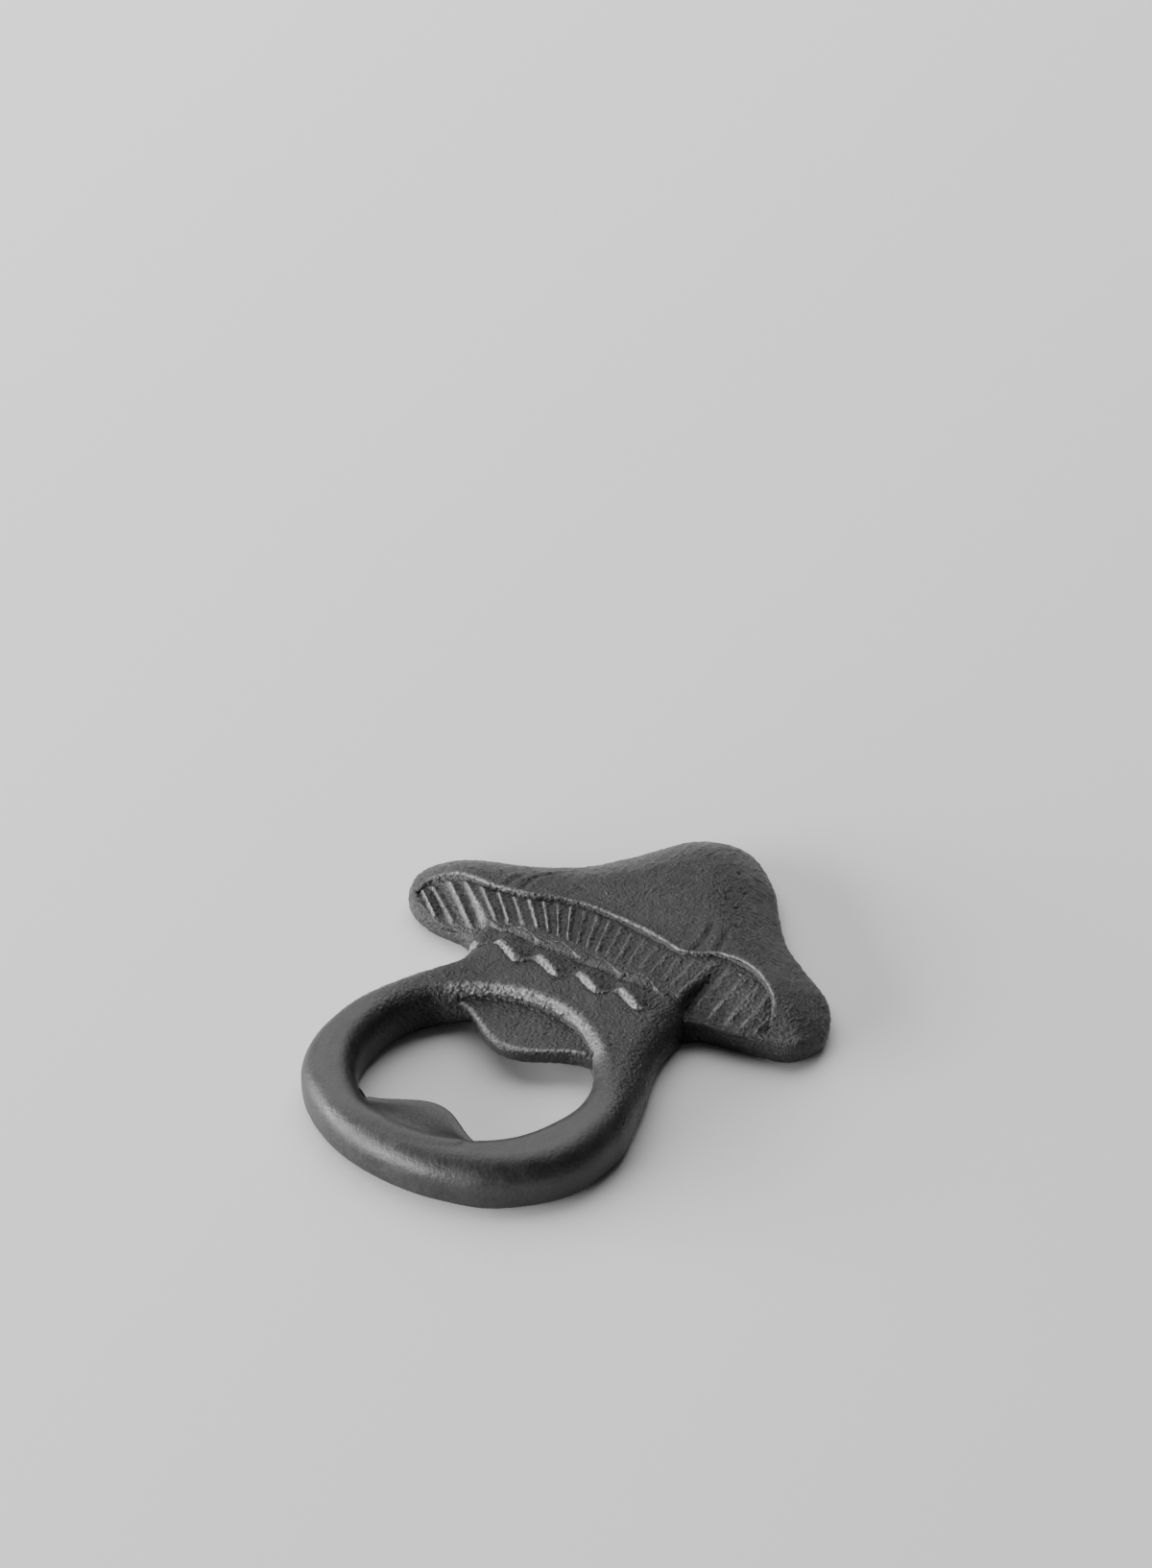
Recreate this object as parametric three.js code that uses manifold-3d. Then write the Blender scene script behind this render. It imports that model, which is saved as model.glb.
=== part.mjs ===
// Cast-iron souvenir bottle opener in the shape of a mushroom, lying on its flat back.
// The cap is the handle; the stem is an opener ring with a lip at each end of its hole.
// Millimetres, +Z up. The origin is under the middle of the opener, on the face it lies on.
// +Y runs from the ring to the peak of the cap, +X towards the right lobe.

import * as THREE from 'three';
import { mergeVertices } from 'three/addons/utils/BufferGeometryUtils.js';
import Module from 'manifold-3d';

// ---- Driving dimensions ----

const capWidth = 80.6; // across the two lobes
const capHeight = 48.4; // from the neck line to the peak
const ringWidth = 55.1; // outside, across the two side bars
const ringLength = 55.4; // outside, from the foot of the ring to the neck line
const ringOffset = 1.3; // the ring stands a little to the right of the cap
const holeDiameter = 37.2; // inside the bar, before the lips
const footBar = 7; // bar at the foot of the ring, in plan

const ringHeight = 8.2;
const neckHeight = 7.6; // top of the broad bar between the hole and the skirt
const barRound = 4.2; // height of the rounding over the bar
const holeRound = 1.8; // rounding where the neck meets the hole
const footRound = 1.8; // rounding under every outer edge

const capEdge = 2.2; // side wall of the cap
const lobeEdge = 2.8; // side wall in front of the gills
const capShoulder = 4.4; // height that the shoulders reach
const capShoulderRun = 6.5; // plan width of the cap's shoulder
const lobeShoulderRun = 2.2; // plan width of the shoulder in front of the gills
const capCrown = 8.6; // thickness of the cap at its middle
const capCrownRun = 13; // distance from the edge at which the crown is full

const beadWidth = 1.8;
const beadRise = 0.7; // of the bead above the cap
const beadRoot = 1.2; // of the bead below the cap's surface
const gillDepth = 0.8; // of the gill fan below the cap's surface
const gillRise = 0.7; // of each gill above the floor of the fan
const gillCount = 24;
const fanThickness = 2.4; // least thickness of the gill fan

const skirtWidth = 34;
const skirtTop = 9; // highest line of the frill
const skirtFloor = 4.6; // the frill is bedded down to this height
const scallopCount = 4;
const scallopDip = 1.9; // of the frill's lower edge
const archRise = 2.2; // of the frill's upper edge
const skirtLower = 4; // from the neck line down to the lower cusps
const skirtUpper = 1; // from the neck line up to the upper cusps

const lipThickness = 3.5;
const lipFloor = 2; // height of the underside of the lips
const lipRound = 0.7;
const upperLipWidth = 26.8; // along the chord where the lip leaves the bar
const upperLipBulge = 5.6; // of the free edge past that chord
const lowerLipWidth = 23.2;
const lowerLipBulge = 4.5;

const seam = 0.3; // gap between neighbouring regions of the casting

// ---- Drawn curves; each is stretched to the sizes above ----

// Cap, from the right notch over the peak to the left notch.
const capDrawing = [
  [20.6, 3.5], [25.2, 5.1], [33.4, 6.6], [38.6, 8.5], [40.3, 14.3], [36.6, 22], [28.7, 27.8],
  [22.1, 32.7], [16.8, 39], [11.9, 45.4], [6.6, 49.8], [0.7, 51.9], [-5.5, 49.7], [-9.8, 44.4],
  [-13.6, 37.8], [-19.3, 31.1], [-27.3, 26.8], [-36.4, 22.5], [-40.3, 15.9], [-37.2, 8],
  [-31.9, 5.1], [-24.6, 4.6], [-20.8, 3.5],
];

// Ring, from the left notch round the foot to the right notch.
const ringDrawing = [
  [-20.8, 3.5], [-18.4, -3], [-20.7, -8.9], [-24.1, -16.6], [-26.2, -27], [-24.1, -38.6],
  [-19.1, -44.8], [-9.6, -50.2], [0.4, -51.9], [10.2, -51.3], [20.2, -47.2], [27.7, -38.4],
  [28.9, -27.6], [25.8, -16.3], [23, -9.1], [21.5, -3.6], [20.6, 3.5],
];

// Wavy margin of the cap above the gills, left to right.
const beadDrawing = [
  [-34.2, 9.8], [-32.4, 12.2], [-28, 13.4], [-22, 13.2], [-17.6, 13.6], [-12, 15.8], [-5, 17],
  [2, 16.8], [9, 15.7], [14, 14.8], [18.3, 17.6], [22.5, 18.3], [27, 16.8], [31.5, 13], [34, 9.8],
];

// Front edge of the gill fan, left to right.
const fanDrawing = [
  [-33, 7.4], [-30.5, 6.6], [-26, 6.4], [-21, 6.4], [-16, 6.9], [-10, 7.3], [-4, 7.4],
  [2, 7.4], [8, 7.3], [14, 7], [19, 6.9], [24, 7.2], [28.6, 7.8], [32.4, 8],
];

// ---- Small helpers ----

const wasm = await Module();
wasm.setup();

const mix = (a, b, t) => a + (b - a) * t;
const clamp = (t) => Math.min(Math.max(t, 0), 1);
const smooth = (t) => clamp(t) ** 2 * (3 - 2 * clamp(t));
const range = (count) => Array.from({ length: count }, (_, i) => i);

// Evenly spaced points on the smooth curve through the drawn points.
function curve(drawing, count) {
  const points = drawing.map(([x, y]) => new THREE.Vector3(x, y, 0));
  const line = new THREE.CatmullRomCurve3(points, false, 'centripetal');
  return line.getSpacedPoints(count).map((p) => new THREE.Vector2(p.x, p.y));
}

// The stretch that takes the box of some points to the given box.
function stretch(points, xLow, xHigh, yLow, yHigh) {
  const box = new THREE.Box2().setFromPoints(points);
  const size = box.getSize(new THREE.Vector2());
  return (p) => new THREE.Vector2(
    xLow + (p.x - box.min.x) * (xHigh - xLow) / size.x,
    yLow + (p.y - box.min.y) * (yHigh - yLow) / size.y,
  );
}

// Closed body from a list of loops. Neighbouring loops are joined by a skin. The list closes
// on itself when wrap is set; otherwise its first and last loops are filled as fans.
function body(loops, wrap = false) {
  const count = loops[0].length;
  const positions = [];
  const triangle = (a, b, c) => positions.push(...a, ...b, ...c);
  const middle = (loop) => [0, 1, 2].map((k) => loop.reduce((sum, p) => sum + p[k], 0) / count);
  const last = wrap ? loops.length : loops.length - 1;
  for (const i of range(last)) {
    const here = loops[i];
    const next = loops[(i + 1) % loops.length];
    for (const j of range(count)) {
      const k = (j + 1) % count;
      triangle(here[j], here[k], next[k]);
      triangle(here[j], next[k], next[j]);
    }
  }
  if (!wrap) {
    const first = loops[0];
    const end = loops[loops.length - 1];
    for (const j of range(count)) {
      const k = (j + 1) % count;
      triangle(middle(first), first[k], first[j]);
      triangle(middle(end), end[j], end[k]);
    }
  }
  const geometry = new THREE.BufferGeometry();
  geometry.setAttribute('position', new THREE.Float32BufferAttribute(positions, 3));
  return mergeVertices(geometry, 1e-4);
}

function solid(geometry) {
  const mesh = new wasm.Mesh({
    numProp: 3,
    vertProperties: new Float32Array(geometry.attributes.position.array),
    triVerts: new Uint32Array(geometry.index.array),
  });
  return new wasm.Manifold(mesh);
}

function geometryOf(manifold) {
  const mesh = manifold.getMesh();
  const geometry = new THREE.BufferGeometry();
  geometry.setAttribute('position', new THREE.Float32BufferAttribute(mesh.vertProperties, 3));
  geometry.setIndex(Array.from(mesh.triVerts));
  return geometry;
}

// Solid between two plan curves with equal numbers of points. floor(i) is the height of its
// underside at station i and top(i, v) that of its upper face, v running from back to front.
// A slot for the same solid has a margin all round and is open above.
function strip(back, front, floor, top, steps, slotMargin = 0) {
  const stations = range(back.length).map((i) => {
    const across = front[i].clone().sub(back[i]).normalize();
    return {
      i,
      back: back[i].clone().addScaledVector(across, -slotMargin),
      front: front[i].clone().addScaledVector(across, slotMargin),
    };
  });
  if (slotMargin > 0) {
    stations.unshift(pushedOut(stations[0], stations[1], slotMargin));
    stations.push(pushedOut(stations[stations.length - 1], stations[stations.length - 2], slotMargin));
  }
  const slotTop = 2 * capCrown + ringHeight;
  const loops = stations.map((station) => {
    const at = (v, z) => {
      const p = station.back.clone().lerp(station.front, v);
      return [p.x, p.y, z];
    };
    const under = floor(station.i) - slotMargin;
    const over = range(steps + 1).map((j) => {
      const v = j / steps;
      return at(v, slotMargin > 0 ? slotTop : top(station.i, v));
    });
    return [at(0, under), ...over, at(1, under)];
  });
  return body(loops);
}

function pushedOut(end, inner, distance) {
  const moved = (a, b) => a.clone().addScaledVector(a.clone().sub(b).normalize(), distance);
  return { i: end.i, back: moved(end.back, inner.back), front: moved(end.front, inner.front) };
}

// ---- Plan ----

const neckY = (ringLength - capHeight) / 2;
const capStations = 110;
const ringStations = 84;

const capCurve = curve(capDrawing, capStations);
const toCap = stretch(capCurve, -capWidth / 2, capWidth / 2, neckY, neckY + capHeight);
const capLine = capCurve.map(toCap);

const ringCurve = curve(ringDrawing, ringStations);
const ringLeft = ringOffset - ringWidth / 2;
const toRing = stretch(ringCurve, ringLeft, ringLeft + ringWidth, neckY - ringLength, neckY);
const ringLine = ringCurve.map(toRing);

const holeRadius = holeDiameter / 2;
const holeCentre = new THREE.Vector2(ringOffset - 0.6, neckY - ringLength + footBar + holeRadius);

// Distance of a point from the cap's edge, and how far that edge looks towards the ring.
function capEdgeAt(point) {
  let distance = Infinity;
  let facing = 0;
  for (const i of range(capLine.length - 1)) {
    const a = capLine[i];
    const along = capLine[i + 1].clone().sub(a);
    const t = clamp(point.clone().sub(a).dot(along) / along.lengthSq());
    const gap = a.clone().addScaledVector(along, t).distanceTo(point);
    if (gap < distance) {
      distance = gap;
      facing = smooth(along.x / along.length() * 1.6);
    }
  }
  return { distance, facing };
}

// Height of the cap's upper face: a wall, an elliptic shoulder and a crown.
function capTop(point) {
  const { distance, facing } = capEdgeAt(point);
  const wall = mix(capEdge, lobeEdge, facing);
  const run = mix(capShoulderRun, lobeShoulderRun, facing);
  const inward = 1 - clamp(distance / run);
  const shoulder = wall + (capShoulder - wall) * Math.sqrt(1 - inward ** 2);
  return shoulder + (capCrown - capShoulder) * smooth(distance / capCrownRun);
}

// ---- Regions of the casting ----

function capBody() {
  const centre = new THREE.Vector2(0, neckY + capHeight * 0.33);
  const neckPoints = range(9).map((i) => {
    const left = capLine[capLine.length - 1];
    return left.clone().lerp(capLine[0], (i + 1) / 10).setY(neckY + seam);
  });
  const outline = [...capLine, ...neckPoints];
  const onNeck = (i) => i >= capLine.length || i === 0 || i === capLine.length - 1;
  const inset = (p, share) => p.clone().lerp(centre, share);
  const ring = (share, height) => outline.map((p, i) => {
    const q = inset(p, share);
    return [q.x, q.y, height(q, i)];
  });
  const undercut = outline.map((p, i) => {
    const depth = onNeck(i) ? 0 : footRound;
    const q = inset(p, depth / p.distanceTo(centre));
    return [q.x, q.y, 0];
  });
  const wallFoot = (q, i) => (onNeck(i) ? 0.4 : footRound);
  const shares = [0, 0.02, 0.06, 0.12, 0.2, 0.3, 0.42, 0.56, 0.72, 0.88];
  const tops = shares.map((share) => ring(share, (q) => capTop(q)));
  return solid(body([undercut, ring(0, wallFoot), ...tops]));
}

function ringBody() {
  const neckSteps = 18;
  const neckPoints = range(neckSteps - 1).map((i) => {
    const right = ringLine[ringLine.length - 1];
    return right.clone().lerp(ringLine[0], (i + 1) / neckSteps);
  });
  const outline = [...ringLine, ...neckPoints].map((p) => p.clone().setY(Math.min(p.y, neckY)));
  const loops = outline.map((outer, i) => {
    const onNeck = i >= ringLine.length - 1 || i === 0;
    const towards = outer.clone().sub(holeCentre).normalize();
    const inner = holeCentre.clone().addScaledVector(towards, holeRadius);
    const width = outer.distanceTo(inner);
    const neck = smooth((width - 10) / 8);
    const height = mix(ringHeight, neckHeight, neck);
    const innerRun = mix(width / 2, holeRound, neck);
    const outerRun = onNeck ? 0 : mix(width / 2, barRound, neck);
    const innerDrop = mix(barRound, holeRound, neck);
    const outerDrop = onNeck ? 0 : barRound;
    const foot = onNeck ? 0 : footRound;
    const at = (offset, z) => [inner.x + towards.x * offset, inner.y + towards.y * offset, z];
    const arcs = 5;
    const quarter = range(arcs + 1).map((k) => k / arcs * Math.PI / 2);
    const innerArc = quarter.map((a) => at(
      innerRun * (1 - Math.cos(a)) * 0.98,
      height - innerDrop * (1 - Math.sin(a)),
    ));
    const outerArc = quarter.map((a) => at(
      width - outerRun * (1 - Math.sin(a)) * 0.98,
      height - outerDrop * (1 - Math.cos(a)),
    ));
    return [
      at(footRound, 0), at(0, footRound), ...innerArc, ...outerArc,
      at(width, Math.max(foot, 0.4)), at(width - foot, 0),
    ];
  });
  return solid(body(loops, true));
}

// Lip over the hole. side is 1 for the lip at the neck and -1 for the lip at the foot.
function lip(side, width, bulge) {
  const wallRadius = holeRadius - seam;
  const half = width / 2;
  const chord = Math.sqrt(wallRadius ** 2 - half ** 2);
  const stations = range(23).map((i) => mix(-half + 0.8, half - 0.8, i / 22));
  const wall = stations.map((x) => new THREE.Vector2(x, side * Math.sqrt(wallRadius ** 2 - x ** 2)));
  const edge = stations.map((x) => {
    return new THREE.Vector2(x, side * (chord - bulge * Math.cos(Math.PI / 2 * x / half) ** 2));
  });
  const loops = stations.map((_, i) => {
    const reach = wall[i].distanceTo(edge[i]);
    const round = Math.min(lipRound, reach / 3);
    const at = (inset, z) => {
      const p = edge[i].clone().lerp(wall[i], inset / reach).add(holeCentre);
      return [p.x, p.y, z];
    };
    const top = lipFloor + lipThickness;
    const loop = [
      at(reach, lipFloor), at(reach, top), at(round, top), at(0, top - round),
      at(0, lipFloor + round), at(round, lipFloor),
    ];
    return side > 0 ? loop : loop.reverse();
  });
  return body(loops);
}

const beadLine = curve(beadDrawing.map(([x, y]) => toCap({ x, y })).map((p) => [p.x, p.y]), 70);

// The bead line moved sideways, towards the peak for a positive distance.
function besideBead(distance) {
  return beadLine.map((p, i) => {
    const before = beadLine[Math.max(i - 1, 0)];
    const after = beadLine[Math.min(i + 1, beadLine.length - 1)];
    const along = after.clone().sub(before).normalize();
    return new THREE.Vector2(p.x - along.y * distance, p.y + along.x * distance);
  });
}

function bead(slotMargin) {
  const floor = (i) => capTop(beadLine[i]) - beadRoot;
  const top = (i, v) => capTop(beadLine[i]) - 0.2 + (beadRise + 0.2) * Math.sin(Math.PI * v);
  return strip(besideBead(beadWidth / 2), besideBead(-beadWidth / 2), floor, top, 5, slotMargin);
}

function gillFan(slotMargin) {
  const stations = gillCount * 4;
  const backEdge = besideBead(-beadWidth / 2 - seam).map((p) => [p.x, p.y]);
  const back = curve(backEdge, stations);
  const front = curve(fanDrawing.map(([x, y]) => toCap({ x, y })).map((p) => [p.x, p.y]), stations);
  const surface = (i, v) => capTop(back[i].clone().lerp(front[i], v));
  const lowest = (i) => Math.min(surface(i, 0), surface(i, 1)) - gillDepth;
  const floor = (i) => Math.max(lowest(i) - fanThickness, 0.6);
  const top = (i, v) => {
    const bay = Math.sin(Math.PI * mix(0.06, 0.94, v)) ** 0.6;
    const gill = Math.max(Math.cos(2 * Math.PI * gillCount * i / stations), 0);
    return surface(i, v) - gillDepth * bay + gillRise * gill * bay;
  };
  return strip(back, front, floor, top, 6, slotMargin);
}

function skirt(slotMargin) {
  const perScallop = 8;
  const stations = range(scallopCount * perScallop + 1);
  const x = (i) => skirtWidth * (i / (stations.length - 1) - 0.5);
  const wave = (i) => Math.abs(Math.sin(Math.PI * i / perScallop));
  const back = stations.map((i) => new THREE.Vector2(x(i), neckY + skirtUpper + archRise * wave(i)));
  const front = stations.map((i) => new THREE.Vector2(x(i), neckY - skirtLower - scallopDip * wave(i)));
  const top = (i, v) => mix(neckHeight + 0.3, skirtTop, Math.sin(Math.PI * mix(0.15, 0.75, v)));
  return strip(back, front, () => skirtFloor, top, 5, slotMargin);
}

// ---- The opener ----

const castIron = { color: 0x3b3c3e, roughness: 0.55, metalness: 0.7 };
const opener = new THREE.Group();

function region(name, geometry) {
  const mesh = new THREE.Mesh(geometry, new THREE.MeshStandardMaterial(castIron));
  mesh.name = name;
  opener.add(mesh);
}

const skirtSlot = solid(skirt(seam));
const capCasting = capBody().subtract(skirtSlot).subtract(solid(gillFan(seam))).subtract(solid(bead(seam)));
const ringCasting = ringBody().subtract(skirtSlot);

region('cap', geometryOf(capCasting));
region('rim_bead', bead(0));
region('gill_fan', gillFan(0));
region('neck_skirt', skirt(0));
region('opener_ring', geometryOf(ringCasting));
region('upper_lip', lip(1, upperLipWidth, upperLipBulge));
region('lower_lip', lip(-1, lowerLipWidth, lowerLipBulge));

export default opener;
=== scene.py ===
import bpy
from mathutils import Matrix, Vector
import math
import numpy as np


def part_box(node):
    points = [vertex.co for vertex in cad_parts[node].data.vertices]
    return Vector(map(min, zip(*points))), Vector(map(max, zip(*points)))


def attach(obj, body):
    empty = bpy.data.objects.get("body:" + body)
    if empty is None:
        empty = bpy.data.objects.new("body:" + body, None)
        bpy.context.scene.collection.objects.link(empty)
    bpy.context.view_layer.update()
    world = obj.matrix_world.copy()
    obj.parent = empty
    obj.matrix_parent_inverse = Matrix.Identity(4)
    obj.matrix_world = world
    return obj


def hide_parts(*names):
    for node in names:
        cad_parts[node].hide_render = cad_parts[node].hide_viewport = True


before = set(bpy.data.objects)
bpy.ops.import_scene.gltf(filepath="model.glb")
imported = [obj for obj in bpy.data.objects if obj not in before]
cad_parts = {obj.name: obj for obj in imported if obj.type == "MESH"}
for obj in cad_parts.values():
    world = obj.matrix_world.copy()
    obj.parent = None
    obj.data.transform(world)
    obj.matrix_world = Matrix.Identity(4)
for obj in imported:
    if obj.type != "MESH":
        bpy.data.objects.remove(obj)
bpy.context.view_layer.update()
print("stage: frame loaded")

# Everything below is worked out in millimetres and put into meshes in metres.
mm = 0.001


def nodeBox(node):
    low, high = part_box(node)
    return np.array(low) / mm, np.array(high) / mm


capLow, capHigh = nodeBox("cap")
ringLow, ringHigh = nodeBox("opener_ring")
neckY = ringHigh[1]


cameraSet = {
    "azimuth": 34.0,  # where it stands, round the object
    "elevation": 37.4,
    "distance": 625.0,
    "around": (0.6, -1.05, 0.0),
    "lookAzimuth": 33.8,  # the way it looks
    "lookElevation": 33.94,
    "lens": 88.2,
}


def outward(azimuth, elevation):
    a, e = math.radians(azimuth), math.radians(elevation)
    return np.array([math.sin(a) * math.cos(e), -math.cos(a) * math.cos(e), math.sin(e)])


def placeAimed(obj, position, towards):
    obj.location = [float(c) * mm for c in position]
    obj.rotation_mode = "QUATERNION"
    obj.rotation_quaternion = Vector([float(c) for c in towards]).to_track_quat("-Z", "Y")


def makeCamera():
    data = bpy.data.cameras.new("camera")
    data.lens = cameraSet["lens"]
    data.sensor_width = 36
    data.clip_start = 0.01
    data.clip_end = 20
    camera = bpy.data.objects.new("camera", data)
    bpy.context.scene.collection.objects.link(camera)
    stand = outward(cameraSet["azimuth"], cameraSet["elevation"]) * cameraSet["distance"]
    position = np.array(cameraSet["around"]) + stand
    placeAimed(camera, position, -outward(cameraSet["lookAzimuth"], cameraSet["lookElevation"]))
    bpy.context.scene.camera = camera


makeCamera()
print("stage: camera")


def smoothStep(t):
    t = np.clip(t, 0, 1)
    return t * t * (3 - 2 * t)


def mix(a, b, t):
    return a + (b - a) * t


# The centripetal Catmull-Rom curve through the drawn points, with the same number of points in
# each stretch. A stretch is the blend of three straight runs by Barry and Goldman's pyramid.
def curveThrough(drawn, perStretch):
    p = np.asarray(drawn, float)
    p = np.vstack([2 * p[0] - p[1], p, 2 * p[-1] - p[-2]])
    knots = np.concatenate([[0], np.cumsum(np.linalg.norm(np.diff(p, axis=0), axis=1) ** 0.5)])
    i = np.repeat(np.arange(1, len(p) - 2), perStretch)
    share = np.tile(np.arange(perStretch) / perStretch, len(p) - 3)
    t = mix(knots[i], knots[i + 1], share)[:, None]
    k0, k1, k2, k3 = (knots[i + n][:, None] for n in (-1, 0, 1, 2))
    a1 = (k1 - t) / (k1 - k0) * p[i - 1] + (t - k0) / (k1 - k0) * p[i]
    a2 = (k2 - t) / (k2 - k1) * p[i] + (t - k1) / (k2 - k1) * p[i + 1]
    a3 = (k3 - t) / (k3 - k2) * p[i + 1] + (t - k2) / (k3 - k2) * p[i + 2]
    b1 = (k2 - t) / (k2 - k0) * a1 + (t - k0) / (k2 - k0) * a2
    b2 = (k3 - t) / (k3 - k1) * a2 + (t - k1) / (k3 - k1) * a3
    line = (k2 - t) / (k2 - k1) * b1 + (t - k1) / (k2 - k1) * b2
    return np.vstack([line, p[-2]])


def evenly(line, count):
    run = np.concatenate([[0], np.cumsum(np.linalg.norm(np.diff(line, axis=0), axis=1))])
    at = np.linspace(0, run[-1], count)
    return np.stack([np.interp(at, run, line[:, k]) for k in range(line.shape[1])], axis=1)


# The same curve with evenly spaced points.
def smoothLine(drawn, count):
    return evenly(curveThrough(drawn, 60), count)


def stretched(line, low, high):
    bottom, top = line.min(axis=0), line.max(axis=0)
    return low + (line - bottom) * (high - low) / (top - bottom)


def alongOf(line):
    step = np.gradient(line, axis=0)
    return step / np.linalg.norm(step, axis=1)[:, None]


# Distance from every point to a line of close points, and the index of the nearest of them.
# Beside the line it is measured square to it, so it doesn't step from point to point.
def nearest(points, line, chunk=4000):
    index = np.empty(len(points), int)
    for start in range(0, len(points), chunk):
        part = points[start:start + chunk]
        square = ((part[:, None, :] - line[None, :, :]) ** 2).sum(axis=2)
        index[start:start + chunk] = square.argmin(axis=1)
    along = alongOf(line)[index]
    off = points - line[index]
    step = np.linalg.norm(line[1] - line[0])
    across = along[:, 0] * off[:, 1] - along[:, 1] * off[:, 0]
    beyond = np.maximum(np.abs((along * off).sum(axis=1)) - step, 0)
    return np.hypot(across, beyond), index


# True for points inside a closed outline: a ray along +Y crosses it an odd number of times.
def inside(points, outline, chunk=6000):
    a, b = outline, np.roll(outline, -1, axis=0)
    result = np.zeros(len(points), bool)
    for start in range(0, len(points), chunk):
        x, y = points[start:start + chunk, :1], points[start:start + chunk, 1:]
        crosses = (a[:, 0] > x) != (b[:, 0] > x)
        rise = (b[:, 1] - a[:, 1]) / np.where(crosses, b[:, 0] - a[:, 0], 1)
        above = y < a[:, 1] + (x - a[:, 0]) * rise
        result[start:start + chunk] = (crosses & above).sum(axis=1) % 2 == 1
    return result


# Quarter ellipse: 0 at the edge, 1 from one run inwards.
def quarter(share):
    return np.sqrt(1 - (1 - np.clip(share, 0, 1)) ** 2)


# The larger of two heights, rounded where they cross within the reach k.
def softMax(a, b, k):
    share = np.clip(0.5 + 0.5 * (a - b) / k, 0, 1)
    return mix(b, a, share) + k * share * (1 - share)


# A skin leaves the surface on a parabola past its border, so two skins that share a border
# cross there with one tangent and the casting looks whole.
def dive(past, steepness=0.5):
    return -steepness * np.maximum(past, 0) ** 2


# A field of unevenness: the sum of plane waves in random directions whose lengths lie round
# the given length, scaled to unit spread.
def waves(points, length, seed, count=48):
    random = np.random.default_rng(seed)
    direction = random.normal(size=(count, 3))
    direction /= np.linalg.norm(direction, axis=1)[:, None]
    pace = 2 * np.pi / (length * random.uniform(0.7, 1.4, count))
    phase = random.uniform(0, 2 * np.pi, count)
    total = np.zeros(len(points))
    for k in range(count):
        total += np.sin(points @ direction[k] * pace[k] + phase[k])
    return total / math.sqrt(count / 2)


# Normals of a grid of points: the cross product of its two directions of growth.
def gridNormals(grid, wrapRows, wrapColumns):
    def growth(axis, wrap):
        if wrap:
            return np.roll(grid, -1, axis) - np.roll(grid, 1, axis)
        return np.gradient(grid, axis=axis)
    normal = np.cross(growth(0, wrapRows), growth(1, wrapColumns))
    return normal / np.maximum(np.linalg.norm(normal, axis=2), 1e-9)[:, :, None]


castSet = {
    "swellLength": 11.0,  # slow unevenness of the sand mould
    "swell": 0.05,
    "lumpLength": 2.4,
    "lump": 0.026,
    "grainLength": 0.9,  # sand grains
    "grain": 0.032,
    "flatBelow": 0.5,  # the ground back stays flat
    "smoothFrom": -10.0,  # the bar is worn smooth by hands
    "smoothTo": -32.0,
    "smoothGrain": 0.14,
    "seed": 11,
    "slab": 0.8,  # least thickness of a slab
    "slabFloor": 0.4,  # its underside stays above this height
}


# 1 on the rough cap and neck, less on the bar that hands have worn.
def roughness(points):
    share = (castSet["smoothFrom"] - points[:, 1]) / (castSet["smoothFrom"] - castSet["smoothTo"])
    return mix(1, castSet["smoothGrain"], smoothStep(share))


# A cast skin: the surface moves along its normals by three sizes of unevenness.
def castSkin(grid, wrapRows, wrapColumns):
    points = grid.reshape(-1, 3)
    normal = gridNormals(grid, wrapRows, wrapColumns).reshape(-1, 3)
    seed = castSet["seed"]
    lift = castSet["swell"] * waves(points, castSet["swellLength"], seed)
    fine = castSet["lump"] * waves(points, castSet["lumpLength"], seed + 1)
    fine += castSet["grain"] * waves(points, castSet["grainLength"], seed + 2)
    lift = (lift + fine * roughness(points)) * smoothStep(points[:, 2] / castSet["flatBelow"])
    return (points + normal * lift[:, None]).reshape(grid.shape)


# Quads between the rows and columns of a grid of points.
def gridQuads(rows, columns, wrapRows, wrapColumns):
    index = np.arange(rows * columns).reshape(rows, columns)
    if wrapRows:
        index = np.vstack([index, index[:1]])
    if wrapColumns:
        index = np.hstack([index, index[:, :1]])
    quads = np.stack([index[:-1, :-1], index[1:, :-1], index[1:, 1:], index[:-1, 1:]], axis=-1)
    return quads.reshape(-1, 4)


# One closed mesh from quads and a few end faces with many corners. Its attributes say how rough
# the casting is and where the black is worn off, which also lays a painted highlight there.
def newPiece(name, points, quads, ends, wornAndHighlight, material, node):
    corners = np.concatenate([quads.ravel(), *ends]).astype(np.int32)
    sizes = np.concatenate([np.full(len(quads), 4), [len(end) for end in ends]]).astype(int)
    starts = np.concatenate([[0], np.cumsum(sizes)[:-1]]).astype(np.int32)
    mesh = bpy.data.meshes.new(name)
    mesh.vertices.add(len(points))
    mesh.vertices.foreach_set("co", (points * mm).astype(np.float32).ravel())
    mesh.loops.add(len(corners))
    mesh.loops.foreach_set("vertex_index", corners)
    mesh.polygons.add(len(sizes))
    mesh.polygons.foreach_set("loop_start", starts)
    mesh.update(calc_edges=True)
    mesh.shade_smooth()
    for attribute, values in (("rough", roughness(points)), ("wornAndHighlight", wornAndHighlight.ravel())):
        layer = mesh.attributes.new(attribute, "FLOAT", "POINT")
        layer.data.foreach_set("value", values.astype(np.float32))
    mesh.materials.append(material)
    piece = bpy.data.objects.new(name, mesh)
    bpy.context.scene.collection.objects.link(piece)
    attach(piece, "root")
    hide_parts(node)
    print("stage:", name, len(quads) * 2, "triangles")


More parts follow.
